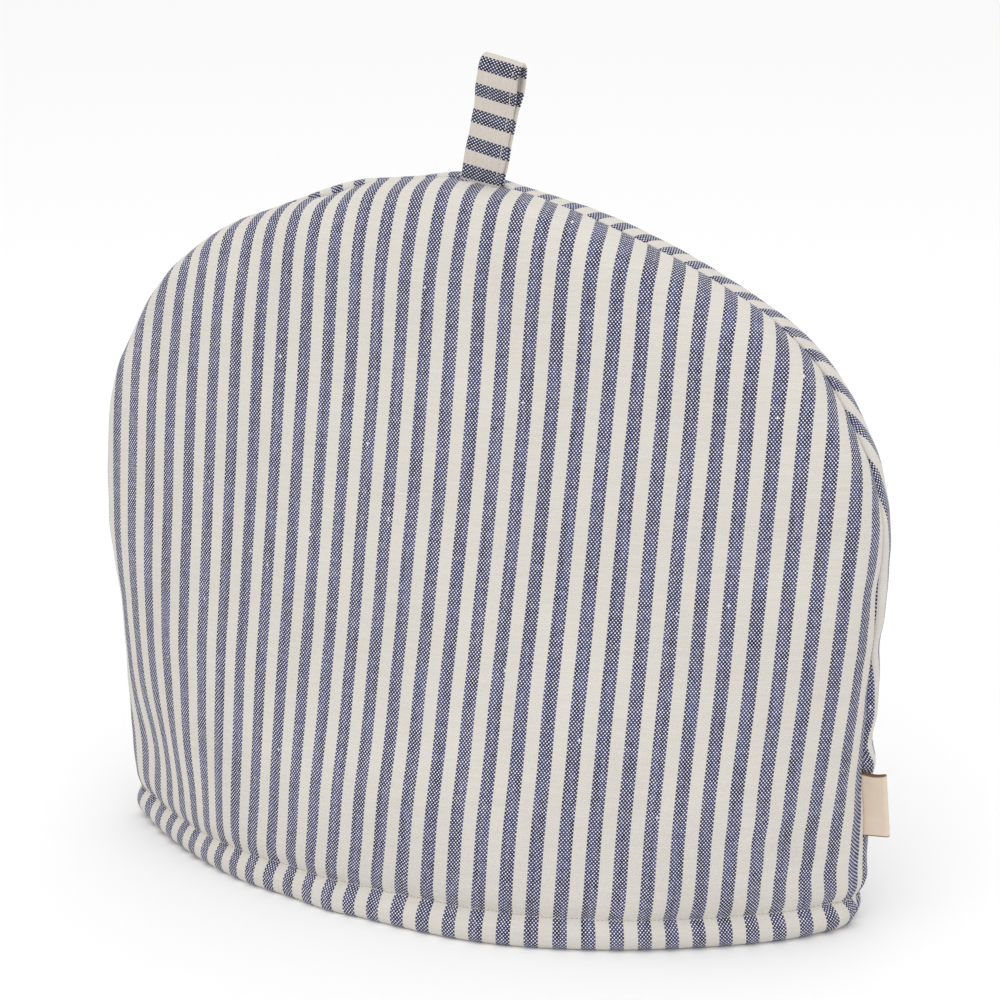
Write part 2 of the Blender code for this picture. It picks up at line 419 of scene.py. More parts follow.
@dataclass
class PaddedPanel:
    """One padded panel: outer cloth, the roll into the seam, the hem and the inner cloth."""

    name: str
    side: Side
    dome: Dome
    hem: Hem
    parting: Parting
    stripe_repeat: float
    first_stripe: float
    seed: float
    stripe_lean: float = 0.028
    zero: float = -9.4 * MM
    columns: int = 300
    inner_columns: int = 60
    seam_columns: int = 9
    crowding: float = 0.2
    seam_insets: tuple[float, ...] = (1.2, 1.5, 1.3, 0.8, 0.7, 0.7, 0.7, 0.8, 1.0, 1.2, 1.4, 1.4, 1.2)
    facing_reach: float = 12 * MM
    gather_reach: float = 9 * MM
    soft_reach: float = 30 * MM
    swell_reach: float = 20 * MM
    foot_reach: float = 5 * MM
    top_reach: float = 3 * MM
    crown_reach: float = 25 * MM
    valley_draw: float = 0.75
    left_spread: float = 4.8 * MM
    spread_reach: float = 150 * MM
    spread_power: float = 1.6
    pulls: tuple[Pull | Gather, ...] = ()
    creeps: tuple[Creep, ...] = ()
    dents: tuple[Dent, ...] = ()
    other_dents: tuple[Dent, ...] = ()
    swells: tuple[Pull, ...] = ()
    outer: slice = field(default_factory=lambda: slice(0, 0))
    points: np.ndarray = field(default_factory=lambda: np.zeros((0, 0, 3)))
    around: np.ndarray = field(default_factory=lambda: np.zeros((0, 0)))

    def heights(self) -> np.ndarray:
        """Heights of the mesh's rows above the table, from the hem up."""
        band_top, low_top, shoulder = 20 * MM, 36 * MM, 222 * MM
        fine, coarse = 0.75 * MM, 1.6 * MM
        band_gap, low_gap, middle_gap = 0.8 * MM, 1.2 * MM, 2 * MM
        roll_rows, middle_rows, arch_rows = 8, 70, 44
        roll = self.hem.roll_at_seam * (1 - np.cos(np.linspace(0, np.pi / 2, roll_rows)))
        band = np.arange(self.hem.roll_at_seam + band_gap, band_top, fine)
        low = np.arange(band[-1] + low_gap, low_top, coarse)
        middle = np.linspace(low[-1] + middle_gap, shoulder, middle_rows)
        arch = shoulder + (self.dome.height - shoulder) * np.sin(np.linspace(0, np.pi / 2, arch_rows))
        return np.concatenate([roll, band, low, middle, arch[1:]])

    def outer_points(self, z: np.ndarray) -> np.ndarray:
        """The outer cloth from one ridge beside the seam to the other."""
        dome = self.dome
        share = np.linspace(-1, 1, self.columns + 1)
        crowded = (1 - self.crowding) * share + self.crowding * share**3
        height, across = np.broadcast_arrays(z[:, None] / dome.height, np.sin(np.pi / 2 * crowded)[None, :])
        x = dome.span(height, across)
        inset = dome.inset(x, height * dome.height)
        rim = 1 - np.minimum(inset / dome.ridge_radius, 1)
        ridge = dome.ridge_depth + dome.ridge_radius * np.sqrt(1 - rim**2)
        full = dome.level("depth", height) - dome.ridge_depth - dome.ridge_radius
        return together(x, ridge + full * dome.belly(height, across), height * dome.height)

    def seam_points(self, z: np.ndarray, right: bool) -> np.ndarray:
        """The cloth that rolls from the ridge down into the seam, on one side."""
        angle = np.arcsin(np.clip(z / self.dome.height, 0, 1))
        if not right:
            angle = np.pi - angle
        edge = self.dome.outline(angle)[:, None, :]
        into = self.dome.inward(angle)[:, None, :]
        into[..., 1] *= ease(z / self.hem.stitch_height)[:, None]
        turn = np.linspace(0, np.pi / 2, self.seam_columns + 1)[None, 1:]
        place = edge[..., 0], edge[..., 1]
        room = self.parting.room(*place, self.dome.height)
        own, other = (self.pressed(*place, dents) for dents in (self.dents, self.other_dents))
        bottom = np.maximum(own, other) + smooth_table(self.seam_insets, angle / np.pi)[:, None] * MM
        drawn = own + (bottom - own) * (1 - np.cos(turn))
        depth = room + (self.dome.ridge_depth - room) * (1 - np.sin(turn))
        flat = edge + into * drawn[..., None]
        return together(flat[..., 0], depth, flat[..., 1])

    def inner_points(self, z: np.ndarray, across: np.ndarray) -> np.ndarray:
        """The inner cloth, at shares of its width."""
        dome = self.dome
        height, across = np.broadcast_arrays(z[:, None] / dome.height, across[None, :])
        left, right = dome.half_width(height, False), dome.half_width(height, True)
        wall = dome.seam_wall
        shrink = np.where(height < 1, 1 - wall * 2 / (left + right + wall), 1)
        x = dome.span(height, across) * shrink
        depth = (dome.level("depth", height) - dome.padding) * dome.belly(height, across)
        seam = dome.outline(np.where(across > 0, 0, np.pi) + np.arcsin(height) * np.sign(across))
        room = self.parting.room(seam[..., 0], seam[..., 1], dome.height)
        middle_share, seam_share = 0.8, 0.2
        beside = ease((abs(across) - middle_share) / seam_share)
        depth = np.maximum(depth, self.parting.gap + (room - self.parting.gap) * beside)
        level = height * (dome.height - wall)
        tuck, lip_x, lip_depth, corner_fade = self.hem.inner_roll, 150 * MM, 60 * MM, 9 * MM
        under = np.maximum(tuck - level, 0)
        lip = (tuck - np.sqrt(np.maximum(tuck**2 - under**2, 0))) * (1 - beside)
        corner = self.hem.corner_room * beside * np.exp(-level / corner_fade)
        x = x * (1 + lip / lip_x) - np.sign(across) * corner
        return together(x, depth * (1 + lip / lip_depth), level)

    def pull_of(self, points: np.ndarray, inset: np.ndarray) -> np.ndarray:
        """Horizontal directions out of the cloth, which the hem's relief follows."""
        least = 1e-12
        along = np.gradient(points[..., :2], axis=1)
        out = unit(together(-along[..., 1], along[..., 0]), least)
        ends = together(np.sign(points[..., 0]), 0.0)
        inner = ease(inset / self.facing_reach)[..., None]
        return unit(out * inner + ends * (1 - inner), least)

    def hem_relief(self, along: np.ndarray, z: np.ndarray, inset: np.ndarray) -> np.ndarray:
        """How far the outer cloth is drawn in near the hem.

        Args:
            along: How far round the hem each point lies, in metres.
            z: Its height.
            inset: Its distance from the outline.

        Returns:
            The draw at each point, in metres.
        """
        hem = self.hem
        off = z - hem.line(along, self.seed)
        reach = np.where(off > 0, hem.groove_above, hem.groove_below)
        slow, quick = hem.uneven_runs
        uneven = 1 + hem.uneven * np.sin(along / slow + 2 * self.seed) * np.sin(along / quick)
        groove = hem.groove_depth * uneven * np.exp(-(abs(off / reach) ** hem.groove_power))
        puff = hem.puff * np.sin(np.pi * np.clip(z / hem.stitch_height, 0, 1)) ** 2
        dimple = hem.dimple * np.cos(2 * np.pi * along / hem.stitch_length)
        dimple = dimple * np.exp(-((off / hem.dimple_reach) ** 2))
        corner = 1 - ease(inset / hem.corner_reach)
        radius = hem.roll + (hem.roll_at_seam - hem.roll) * corner
        under = np.maximum(radius - z, 0)
        roll = radius - np.sqrt(np.maximum(radius**2 - under**2, 0))
        return groove - puff + dimple + roll

    def lumps(self, place: np.ndarray, height: float, size: float, layer: int) -> np.ndarray:
        """One layer of smooth noise, its height and size in millimetres."""
        return height * MM * grain(place, size * MM, self.seed + layer)

    def near_hem(self, z: np.ndarray, above: float, below: float) -> np.ndarray:
        """1 on the hem's stitches, fading over lengths in millimetres above and below them."""
        off = z - self.hem.stitch_height
        return np.exp(-abs(off) / np.where(off > 0, above * MM, below * MM))

    def wrinkles(self, points: np.ndarray, along: np.ndarray, inset: np.ndarray) -> np.ndarray:
        """Unevenness of the padded cloth, outwards: soft lumps, puckers at the hem and the seam."""
        z = points[..., 2]
        soft = self.lumps(points, 0.8, 62, 0) + self.lumps(points, 0.25, 23, 3)
        sewn = together(along, z * 0.35, 0.0)
        near = self.near_hem(z, 13, 7)
        pucker = self.lumps(sewn, 0.55, 9, 5) * near + self.lumps(sewn, 0.30, 4.5, 7) * near**2
        gather = self.lumps(points, 0.45, 11, 9) * np.exp(-inset / self.gather_reach)
        return soft * ease(inset / self.soft_reach) + pucker + gather

    def build(self) -> bpy.types.Object:
        """Makes the panel's mesh and its cloth map."""
        z = self.heights()
        half = np.sin(np.linspace(0, np.pi / 2, self.inner_columns // 2 + 1))
        left, right = self.seam_points(z, False)[:, ::-1], self.seam_points(z, True)
        inner_left, inner_right = self.inner_points(z, -half), self.inner_points(z, half[::-1])
        base = np.concatenate([inner_left, left, self.outer_points(z), right, inner_right], axis=1)
        self.outer = slice(len(half), -len(half))
        body = base[:, self.outer]
        edge = self.seam_columns
        valley = np.zeros(body.shape[:2], bool)
        valley[:, :edge] = valley[:, -edge:] = True
        inset = np.where(valley, 0, self.dome.inset(body[..., 0], body[..., 2]))
        self.press_edge(body[:, edge:-edge])
        around = self.cloth_across(body)
        draw = self.hem_relief(around, body[..., 2], inset)
        draw = np.where(valley, draw * self.valley_draw, draw)
        moved = body.copy()
        moved[..., :2] -= self.pull_of(body, inset) * draw[..., None]
        place = body[..., 0] + self.dome.top_x, body[..., 2]
        swollen = sum((swell.at(*place) for swell in self.swells), np.zeros(draw.shape))
        moved[..., 1] += swollen * ease(inset / self.swell_reach)
        moved[..., 1] = np.maximum(moved[..., 1], self.parting.gap)
        deep = np.ones(body.shape[1])
        deep[:edge], deep[-edge:] = np.linspace(0, 1, edge), np.linspace(1, 0, edge)
        off_top = ease((self.dome.height - body[..., 2]) / self.top_reach)
        off_ends = ease(body[..., 2] / self.foot_reach) * off_top
        bumps = self.wrinkles(body, around, inset) * deep[None, :] * off_ends
        normal = normals_of(moved)
        normal *= np.sign(normal[len(z) // 2, body.shape[1] // 2, 1])
        moved += normal * bumps[..., None]
        moved[..., 1] = np.maximum(moved[..., 1], self.parting.gap)
        base[:, self.outer] = moved
        cloth = self.cloth_map(base, around)
        base[..., 1] *= self.side.value
        base[..., 0] += self.dome.top_x
        self.points, self.around = base, around
        return close_up(woven_grid(self.name, base, cloth))

    def pressed(
        self, x: np.ndarray, z: np.ndarray, dents: tuple[Dent, ...], inset: np.ndarray | float = 0.0
    ) -> np.ndarray:
        """How far dents press in points that lie so far inside the outline."""
        amounts = (dent.at(x + self.dome.top_x, z) * np.exp(-inset / dent.fade) for dent in dents)
        return sum(amounts, np.zeros(x.shape))

    def press_edge(self, ridge: np.ndarray) -> None:
        """Moves the outer cloth in the seam's plane, where its edge is dented or let out."""
        x, z = ridge[..., 0], ridge[..., 2]
        inset = self.dome.inset(x, z)
        off_top = np.pi / 2 - np.arcsin(np.clip(z / self.dome.height, 0, 1))
        off_top = off_top * ease(abs(x) / self.crown_reach)
        into = self.dome.inward(np.pi / 2 - np.sign(x) * off_top)
        into[..., 1] *= ease(z / self.hem.stitch_height)
        ridge[..., [0, 2]] += into * self.pressed(x, z, self.dents, inset)[..., None]

    def cloth_across(self, body: np.ndarray) -> np.ndarray:
        """How far across the stripes each point of the outer cloth lies, from where they are counted.

        Where the cloth falls away, it is taken as rolled down along its own slope, so that
        the stripes run straight up to the seam instead of gathering under the arch.

        Args:
            body: The outer cloth before its relief, from one seam to the other.

        Returns:
            The distance at each point, in metres.
        """
        tiny = 1e-12
        edge = self.seam_columns
        ridge = slice(edge, body.shape[1] - edge)
        x = body[:, ridge, 0]
        run, fall, lift = np.moveaxis(np.diff(body[:, ridge], axis=1), -1, 0)
        up = np.gradient(body[:, ridge], axis=0)
        up_x, up_depth, rise = np.moveaxis((up[:, 1:] + up[:, :-1]) / 2, -1, 0)
        area = run * rise - lift * up_x
        area = np.where(abs(area) < tiny, tiny, area)
        slope_x = (fall * rise - up_depth * lift) / area
        slope_z = (run * up_depth - up_x * fall) / area
        steep = slope_x**2 + slope_z**2 + tiny
        length = run + (np.sqrt(1 + steep) - 1) / steep * slope_x * fall
        across = np.concatenate([np.zeros((len(x), 1)), np.cumsum(length, axis=1)], axis=1)
        order = np.maximum.accumulate(x, axis=1)
        zero_x = self.zero - self.dome.top_x
        zero = [np.interp(zero_x, row_x, row) for row_x, row in zip(order, across)]
        across -= np.array(zero)[:, None]
        left, right = (self.valley_run(body, number) for number in (edge, body.shape[1] - edge - 1))
        return np.concatenate([across[:, :1] + left[0], across, across[:, -1:] + right[0]], axis=1)

    def valley_run(self, body: np.ndarray, ridge: int) -> tuple[np.ndarray, np.ndarray]:
        """How far the cloth runs on, across and up, from the ridge into the seam on one side."""
        angle = np.arcsin(np.clip(body[:, ridge, 2] / self.dome.height, 0, 1))
        on_right = ridge > self.columns / 2
        out = -self.dome.inward(angle if on_right else np.pi - angle)
        part = body[:, ridge:] if on_right else body[:, ridge::-1]
        length = np.cumsum(np.linalg.norm(np.diff(part, axis=1), axis=-1), axis=1)
        if not on_right:
            length = length[:, ::-1]
        return length * out[:, :1], length * out[:, 1:]

    def cloth_map(self, base: np.ndarray, around: np.ndarray) -> np.ndarray:
        """The cloth's own coordinates: across its stripes, and along them.

        Args:
            base: The whole ring of points, with its relief.
            around: How far across the stripes the outer cloth lies, before it is pulled.

        Returns:
            Rows by columns by two, in metres.
        """
        body = base[:, self.outer]
        x, z = body[..., 0] + self.dome.top_x, body[..., 2]
        across = around - self.stripe_lean * z + self.first_stripe * self.stripe_repeat
        across = across + self.drift(around, z)
        across = across - self.left_spread * np.maximum(-x / self.spread_reach, 0) ** self.spread_power
        across = across + sum((pull.at(x, z) for pull in self.pulls), np.zeros(z.shape))
        across = across + sum((creep.at(x) for creep in self.creeps), np.zeros(z.shape))
        along = self.thread_lengths(body, across)
        edge = self.seam_columns
        for ridge, valley in ((edge, slice(0, edge)), (z.shape[1] - edge - 1, slice(-edge, None))):
            along[:, valley] = along[:, ridge : ridge + 1] + self.valley_run(body, ridge)[1]
        cloth = base[..., [0, 2]]
        cloth[:, self.outer] = together(across, along)
        return cloth

    def thread_lengths(self, body: np.ndarray, across: np.ndarray) -> np.ndarray:
        """How far each point lies up its own warp thread, from the hem.

        Args:
            body: The outer cloth with its relief.
            across: Which thread each point lies on, as a length across the stripes.

        Returns:
            The length along the thread at each point, in metres.
        """
        along = np.zeros(across.shape)
        order = np.maximum.accumulate(across, axis=1)
        for row in range(1, len(body)):
            thread = across[row]
            below = together(*(np.interp(thread, order[row - 1], part) for part in body[row - 1].T))
            step = body[row] - below
            loose = (thread < order[row - 1, 0]) | (thread > order[row - 1, -1])
            step[loose, :2] = 0
            along[row] = np.interp(thread, order[row - 1], along[row - 1]) + np.linalg.norm(step, axis=1)
        return along

    def drift(self, around: np.ndarray, z: np.ndarray) -> np.ndarray:
        """How far the stripes wander sideways in the cloth, most where the hem is sewn."""
        place = together(around, z * 0.6, 0.0)
        most, start, run = 1.5 * MM, 20 * MM, 90 * MM
        strength = most * ease((around - start) / run)
        uneven = self.lumps(place, 0.5, 12, 13)
        return self.lumps(place, 0.55, 48, 11) + (strength + uneven) * self.near_hem(z, 9, 5)

    def stitches(self) -> Stitches:
        """The hem's stitches on the finished cloth."""
        ring = self.points[:, self.outer]
        levels = self.heights()
        line = self.hem.line(self.around[0], self.seed)
        row = np.clip(np.searchsorted(levels, line) - 1, 0, len(levels) - 2)
        share = ((line - levels[row]) / (levels[row + 1] - levels[row]))[:, None]
        column = np.arange(ring.shape[1])
        spare = 4
        off_seam = self.seam_columns + spare
        keep = slice(off_seam, -off_seam)
        thread = (ring[row, column] * (1 - share) + ring[row + 1, column] * share)[keep]
        around = self.around[row, column][keep]
        pitch = self.hem.stitch_length
        steps = np.arange(np.ceil(around[0] / pitch), np.floor(around[-1] / pitch)) + 0.5

        def at(place: np.ndarray) -> np.ndarray:
            """Points of the thread's line at lengths along the hem."""
            return together(*(np.interp(place, around, part) for part in thread.T))

        ahead = unit(at(steps * pitch + pitch / 2) - at(steps * pitch - pitch / 2))
        out = np.cross(ahead, [0.0, 0.0, 1.0])
        out *= np.sign((out[:, 1] * self.side.value).sum())
        return at(steps * pitch), ahead, unit(out)


# --------------------------------------------------------------- the strips and the thread


@dataclass(frozen=True)
class Thread:
    """Stitches that show, as many copies of one small capsule of thread."""

    name: str
    radius: float
    length: float
    sides: int = 6
    rings: tuple[tuple[float, float, float], ...] = (
        (-0.5, 0.35, -0.9),
        (-0.34, 0.95, 0.0),
        (0.34, 0.95, 0.0),
        (0.5, 0.35, -0.9),
    )

    def build(self, middles: np.ndarray, ahead: np.ndarray, out: np.ndarray) -> bpy.types.Object:
        """Makes every stitch, as one mesh.

        Args:
            middles: The stitches' middles.
            ahead: The way each one runs.
            out: The way out of the cloth at each one.

        Returns:
            The new object.
        """
        beside = np.cross(ahead, out)
        points = []
        for run, wide, sink in self.rings:
            for angle in np.arange(self.sides) * 2 * np.pi / self.sides:
                lift = (np.sin(angle) * wide + sink) * self.radius
                aside = beside * np.cos(angle) * wide * self.radius
                points.append(middles + ahead * run * self.length + aside + out * lift)
        last = (len(self.rings) - 1) * self.sides
        faces = []
        for low in range(0, last, self.sides):
            high = low + self.sides
            for side in range(self.sides):
                after = (side + 1) % self.sides
                faces.append((low + side, low + after, high + after, high + side))
        faces += [(3, 2, 1, 0), (5, 4, 3, 0)]
        faces += [(last, last + 1, last + 2, last + 3), (last, last + 3, last + 4, last + 5)]
        made = replicate(self.name, np.stack(points, axis=1), np.array(faces))
        edit(made)
        turn_outwards()
        return made


def strip_section(half_width: float, half_thickness: float, steps: int) -> np.ndarray:
    """Points (across, out) round a flat strip's section with rounded edges, closed.

    Args:
        half_width: Half its width.
        half_thickness: Half its thickness, which is also its edges' radius.
        steps: Points along one face.

    Returns:
        The points, the first of them repeated at the end.
    """
    flat = half_width - half_thickness
    across = np.linspace(flat, -flat, steps)
    edge_steps = 7
    turn = np.linspace(0, np.pi, edge_steps)[1:-1]
    upper = together(across, half_thickness)
    far = together(-flat - half_thickness * np.sin(turn), half_thickness * np.cos(turn))
    lower = together(across[::-1], -half_thickness)
    near = together(flat + half_thickness * np.sin(turn), -half_thickness * np.cos(turn))
    return np.concatenate([upper, far, lower, near, upper[:1]])


def along_path(path: np.ndarray) -> tuple[np.ndarray, np.ndarray]:
    """Length along a path in a plane and its unit normals, to the left of the way it runs."""
    step = np.linalg.norm(np.diff(path, axis=0), axis=1)
    tangent = unit(np.gradient(path, axis=0))
    return np.concatenate([[0], np.cumsum(step)]), together(-tangent[:, 1], tangent[:, 0])


@dataclass(frozen=True)
class HangingLoop:
    """A strip of the striped cloth, folded over, with both its ends caught in the seam."""

    dome: Dome
    repeat: float
    x: float = 4 * MM
    width: float = 16.5 * MM
    height: float = 46.5 * MM
    thickness: float = 1.5 * MM
    foot_gap: float = 0.5 * MM
    leg_gap: float = 0.24 * MM
    span: float = 7.2 * MM
    lean: float = float(np.radians(12))
    settle: float = 8 * MM
    settled: float = 0.35
    lift: float = -0.5 * MM
    buried: float = 5.0 * MM
    opening: float = 0.58
    skew: float = 0.9 * MM
    stripe_repeat: float = 10.6 * MM
    stripe_shift: float = 0.3 * MM
    fold_take: float = 0.55 * MM
    fold_reach: float = 7 * MM
    stitch_inset: float = 2.3 * MM
    stitch_length: float = 2.1 * MM
    stitch_cover: float = 0.9
    thread_radius: float = 0.22 * MM
    stitch_margin: float = 3 * MM
    stitch_press: float = 0.5
    stitch_reach: float = 0.75 * MM
    stitch_proud: float = 1.02
    plump: float = 0.10
    leg_steps: int = 70
    bend_steps: int = 34
    face_steps: int = 34

    def flat(self) -> tuple[float, float]:
        """The strip's size before it is folded."""
        return self.width, float(along_path(self.path())[0][-1])

    def path(self) -> np.ndarray:
        """The middle line: up the front leg, over the top and down the back one."""
        foot = self.leg_gap / 2 + self.thickness / 2
        radius = self.span / 2
        straight = self.height - self.thickness / 2 - radius
        rise = np.linspace(0, 1, self.leg_steps + 1)
        swell = ease((rise - self.opening) / (1 - self.opening))
        leg = together(-(foot + (radius - foot) * swell), straight * rise)
        below = np.array([[-foot, -self.buried], [-foot, -self.buried / 2]])
        front = np.concatenate([below, leg])
        turn = np.linspace(0, np.pi, self.bend_steps + 2)[1:-1]
        bend = together(-radius * np.cos(turn), straight + radius * np.sin(turn))
        return np.concatenate([front, bend, front[::-1] * np.array([-1, 1])])

    def shift(self, length: np.ndarray) -> np.ndarray:
        """How far the strip lies aside at lengths along it, as its back leg isn't quite behind."""
        past = length - length[-1] / 2
        run, back_from, taken_back = 14 * MM, 20 * MM, 0.35
        back = 1 - taken_back * ease((past - back_from) / back_from)
        return -self.skew * ease(past / run) * back

    def place(self, across: np.ndarray, depth: np.ndarray, rise: np.ndarray) -> np.ndarray:
        """Stands the strip on the seam and leans it to the right."""
        turn = self.lean * (1 - self.settled * (1 - ease(rise / self.settle)))
        x = rise * np.sin(self.lean) - across * np.cos(turn)
        z = rise * np.cos(self.lean) + across * np.sin(turn)
        foot = np.array([self.x + self.dome.top_x, 0, self.dome.height + self.lift])
        return foot + together(x, depth, z)

    def sewing_line(self) -> float:
        """How far across the strip its stitches run."""
        return self.stitch_inset - self.width / 2

    def build(self) -> bpy.types.Object:
        """Makes the strip and its cloth map."""
        path = self.path()
        length, normal = along_path(path)
        across, out = strip_section(self.width / 2, self.thickness / 2, self.face_steps).T
        off_line = (across - self.sewing_line()) / self.stitch_reach
        pressed = 1 - self.stitch_press * np.exp(-(off_line**2))
        out = out * pressed * (1 + self.plump * np.cos(np.pi * across / self.width))
        depth, rise = (path[:, axis, None] + normal[:, axis, None] * out[None, :] for axis in range(2))
        off = length - length[-1] / 2
        wave = together(abs(off)[:, None], across[None, :], 0.0)
        ripple, unevenness, slant, firm_below = 0.35 * MM, 0.05, 0.25 * MM, 6 * MM
        depth = depth + ripple * grain(wave, 14 * MM, 31.0) * ease(rise / firm_below)
        edge = 1 + unevenness * grain(wave[:, :1], 8 * MM, 41.0)
        points = self.place(across[None, :] * edge + self.shift(length)[:, None], depth, rise)
        taken = self.fold_take * np.sign(off) * ease(abs(off) / self.fold_reach)
        stripe = (off + taken - self.stripe_shift) / self.stripe_repeat + 0.5
        skew = grain(wave, 22 * MM, 37.0) * slant
        cloth = together(stripe[:, None] * self.repeat + skew, across)
        return close_up(woven_grid("loop_cloth", points, cloth))

    def stitches(self) -> Stitches:
        """The stitches along the open edge, on the outer face."""
        path = self.path()
        length, normal = along_path(path)
        first = self.buried + self.stitch_margin
        last = length[-1] - self.buried - self.stitch_margin
        places = np.arange(first, last, self.stitch_length)
        half = self.thickness / 2 * self.stitch_press * self.stitch_proud
        near = 0.5 * MM

        def at(spot: np.ndarray, face: float) -> np.ndarray:
            """Points of the face at lengths along the strip."""
            middle = [np.interp(spot, length, part) for part in path.T]
            lift = [np.interp(spot, length, part * half * face) for part in normal.T]
            aside = self.sewing_line() + np.interp(spot, length, self.shift(length))
            return self.place(aside, middle[0] + lift[0], middle[1] + lift[1])

        ahead = unit(at(places + near, 1) - at(places - near, 1))
        return at(places, 1), ahead, unit(at(places, 2) - at(places, 1))


@dataclass(frozen=True)
class SideTape:
    """A short tape, folded once and caught in the right-hand seam."""

    dome: Dome
    low: float = 37.5 * MM
    high: float = 62.5 * MM
    length: float = 9.0 * MM
    root: float = 2.3 * MM
    seam_inset: float = 3 * MM
    buried: float = 2.6 * MM
    lean: float = float(np.radians(4))
    sag: float = 0.6 * MM
    thickness: float = 1.0 * MM
    fold_gap: float = 0.4 * MM
    run_steps: int = 16
    bend_steps: int = 12
    face_steps: int = 24

    def flat(self) -> tuple[float, float]:
        """The tape's size before it is folded."""
        return self.high - self.low, float(along_path(self.path())[0][-1])

    def path(self) -> np.ndarray:
        """The middle line, from the seam out to the fold and back."""
        half = self.fold_gap / 2 + self.thickness / 2
        straight = self.length - self.thickness / 2 - half
        turn = np.linspace(0, np.pi, self.bend_steps)
        bend = together(straight + half * np.sin(turn), -half * np.cos(turn))
        near = together(np.linspace(-self.buried, straight, self.run_steps)[:-1], -half)
        return np.concatenate([near, bend, near[::-1] * np.array([1, -1])])

    def build(self) -> bpy.types.Object:
        """Makes the folded tape; its cloth map runs out from the seam and up."""
        path = self.path()
        length, normal = along_path(path)
        half = (self.high - self.low) / 2
        middle = (self.low + self.high) / 2
        up, out = strip_section(half, self.thickness / 2, self.face_steps).T
        x, y = (path[:, axis, None] - normal[:, axis, None] * out[None, :] for axis in range(2))
        dip = self.sag * np.sin(np.pi * np.clip(x / self.length, 0, 1))
        z = up[None, :] - dip * ease(up[None, :] / half)
        turn_x = x * np.cos(self.lean) - z * np.sin(self.lean)
        turn_z = x * np.sin(self.lean) + z * np.cos(self.lean)
        seam = self.dome.half_width(np.array(middle / self.dome.height), True)
        foot = float(seam) - self.seam_inset + self.root + self.dome.top_x
        points = together(foot + turn_x, y, middle + turn_z)
        return close_up(woven_grid("folded_tape", points, together(length[:, None], up[None, :])))


# ----------------------------------------------------------------------- the finishes

# Noise in the finishes: its scale over the first number, over the second, and its detail.
PATCHES = (780.0, 560.0, 1.0)
OWN_STREAKS = (7.31, 90.0, 2.0)
BUNDLE_STREAKS = (420.0, 330.0, 2.0)
LONG_STREAKS = (500.0, 35.0, 1.0)
SLUB_SPOTS = (3.17, 260.0, 0.0)
PICK_TONES = (75.0, 3.9, 1.0)
BROAD_TONES = (22.0, 22.0, 3.0)
SATIN_TONES = (240.0, 240.0, 2.0)
# Straight lines through chance or noise: how steep, and where they start.
WARP_FATNESS = (0.3, 0.85)
WEFT_FATNESS = (0.25, 0.875)
PATCH_FATNESS = (1.1, 0.45)


class Wires:
    """Adds nodes to one tree and joins them up."""

    def __init__(self, tree: bpy.types.NodeTree) -> None:
        """Keeps the tree that the nodes go into."""
        self.tree = tree

    def feed(self, node: bpy.types.Node, feeds: Feeds) -> None:
        """Joins outputs to a node's inputs, or sets the inputs' values."""
        for key, value in feeds.items():
            if isinstance(value, Socket):
                self.tree.links.new(value, node.inputs[key])
            else:
                node.inputs[key].default_value = value

    def add(self, kind: str, feeds: Feeds | None = None, **settings: object) -> bpy.types.Node:
        """A new node with its settings and with what its inputs are fed."""
        node = self.tree.nodes.new(kind)
        for key, value in settings.items():
            setattr(node, key, value)
        self.feed(node, feeds or {})
        return node

    def math(self, operation: str, *values: object) -> Socket:
        """One step of arithmetic."""
        return self.add("ShaderNodeMath", dict(enumerate(values)), operation=operation).outputs[0]

    def times(self, first: object, second: object) -> Socket:
        """A product."""
        return self.math("MULTIPLY", first, second)

    def line(self, value: object, slope: object, start: object) -> Socket:
        """A number times a slope, and a start added to it."""
        return self.math("MULTIPLY_ADD", value, slope, start)

    def blend(self, share: object, first: object, second: object) -> Socket:
        """A mix of two colours."""
        return self.add("ShaderNodeMix", {0: share, 6: first, 7: second}, data_type="RGBA").outputs[2]

    def span(self, value: object, low: float, high: float) -> Socket:
        """0 below one value, 1 above another, and a soft step between."""
        feeds = {0: value, 1: low, 2: high}
        return self.add("ShaderNodeMapRange", feeds, interpolation_type="SMOOTHSTEP").outputs[0]

    def noise(self, x: Socket, y: Socket, kind: tuple[float, float, float]) -> Socket:
        """Smooth noise over two numbers, of one of the kinds above."""
        x_scale, y_scale, detail = kind
        place = self.add("ShaderNodeCombineXYZ", {0: self.times(x, x_scale), 1: self.times(y, y_scale)})
        feeds = {"Vector": place.outputs[0], "Scale": 1.0, "Detail": detail}
        return self.add("ShaderNodeTexNoise", feeds, noise_dimensions="2D").outputs[0]

    def chance(self, value: Socket) -> Socket:
        """A number from 0 to 1 that belongs to a whole number."""
        return self.add("ShaderNodeTexWhiteNoise", {"W": value}, noise_dimensions="1D").outputs[0]

    def split(self, place: Socket) -> list[Socket]:
        """A place's first two coordinates."""
        return self.add("ShaderNodeSeparateXYZ", {0: place}).outputs[:2]

    def cloth(self) -> Socket:
        """The cloth's own coordinates."""
        return self.add("ShaderNodeUVMap", uv_map=CLOTH_MAP).outputs[0]

    def bump(self, height: Socket, distance: float, strength: float) -> Socket:
        """The normals of a fine relief."""
        feeds = {"Height": height, "Distance": distance, "Strength": strength}
        return self.add("ShaderNodeBump", feeds).outputs[0]


